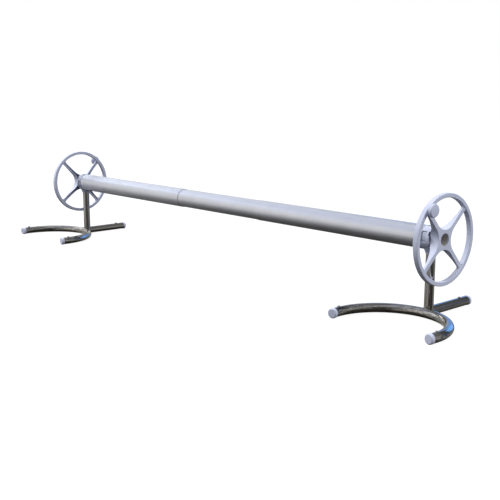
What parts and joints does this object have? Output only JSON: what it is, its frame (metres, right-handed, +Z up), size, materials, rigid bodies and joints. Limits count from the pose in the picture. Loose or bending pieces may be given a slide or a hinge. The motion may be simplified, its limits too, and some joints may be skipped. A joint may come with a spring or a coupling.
{
  "type": "pool cover reel",
  "caption": "Telescopic pool cover reel: a sliding aluminium tube roller on C-foot steel stands, with a spoked handwheel and crank knob at either end.",
  "frame": {"origin": "on the ground at the centre of the footprint, midway between the two stands", "axes": "+X along the roller towards the right stand, +Y towards the rear legs, +Z up"},
  "size_m": [3.3714, 0.6456, 0.547],
  "materials": {
    "stainless": "polished",
    "anodised": "satin anodised",
    "grey_plastic": "moulded, fine texture",
    "bearing_plastic": "smooth",
    "screws": "plated"
  },
  "bodies": {
    "right_stand": {"right_post": "stainless", "right_bow": "stainless", "right_leg": "stainless", "right_foot_caps": "grey_plastic", "right_anchor_screws": "screws", "right_housing": "grey_plastic", "right_housing_screws": "screws", "right_bush": "bearing_plastic"},
    "right_roller": {"right_tube": "anodised", "right_end_plug": "grey_plastic", "right_plug_screws": "screws", "right_lock_screws": "screws", "right_axle": "stainless", "right_axle_bolt": "screws", "right_axle_nut": "screws", "right_inner_washer": "bearing_plastic", "right_outer_washer": "bearing_plastic", "right_handwheel": "grey_plastic", "right_wheel_screws": "screws", "right_knob_spindle": "screws"},
    "right_crank": {"right_knob": "grey_plastic", "right_knob_plug": "grey_plastic"},
    "left_stand": {"left_post": "stainless", "left_bow": "stainless", "left_leg": "stainless", "left_foot_caps": "grey_plastic", "left_anchor_screws": "screws", "left_housing": "grey_plastic", "left_housing_screws": "screws", "left_bush": "bearing_plastic"},
    "left_roller": {"left_tube": "anodised", "left_end_plug": "grey_plastic", "left_plug_screws": "screws", "left_lock_screws": "screws", "left_axle": "stainless", "left_axle_bolt": "screws", "left_axle_nut": "screws", "left_inner_washer": "bearing_plastic", "left_outer_washer": "bearing_plastic", "left_handwheel": "grey_plastic", "left_wheel_screws": "screws", "left_knob_spindle": "screws"},
    "left_crank": {"left_knob": "grey_plastic", "left_knob_plug": "grey_plastic"},
    "roller_core": {"middle_tube": "anodised"}
  },
  "joints": [
    {"name": "roller_spin", "type": "hinge", "parent": "right_stand", "child": "right_roller", "pos_m": [1.4065, 0.02483, 0.347], "axis": [1, 0, 0], "continuous": true},
    {"name": "right_tube_slide", "type": "slide", "parent": "right_roller", "child": "roller_core", "axis": [-1, 0, 0], "range_m": [-0.3, 0.42]},
    {"name": "left_tube_slide", "type": "slide", "parent": "roller_core", "child": "left_roller", "axis": [-1, 0, 0], "range_m": [-0.3, 0.42]},
    {"name": "left_stand_turn", "type": "hinge", "parent": "left_roller", "child": "left_stand", "pos_m": [-1.4065, 0.02483, 0.347], "axis": [1, 0, 0], "continuous": true},
    {"name": "right_knob_spin", "type": "hinge", "parent": "right_roller", "child": "right_crank", "pos_m": [1.4705, -0.10387, 0.48745], "axis": [1, 0, 0], "continuous": true},
    {"name": "left_knob_spin", "type": "hinge", "parent": "left_roller", "child": "left_crank", "pos_m": [-1.4705, 0.16528, 0.4757], "axis": [-1, 0, 0], "continuous": true}
  ],
  "couplings": [
    {"joint": "left_stand_turn", "follows": "roller_spin", "ratio": -1}
  ]
}
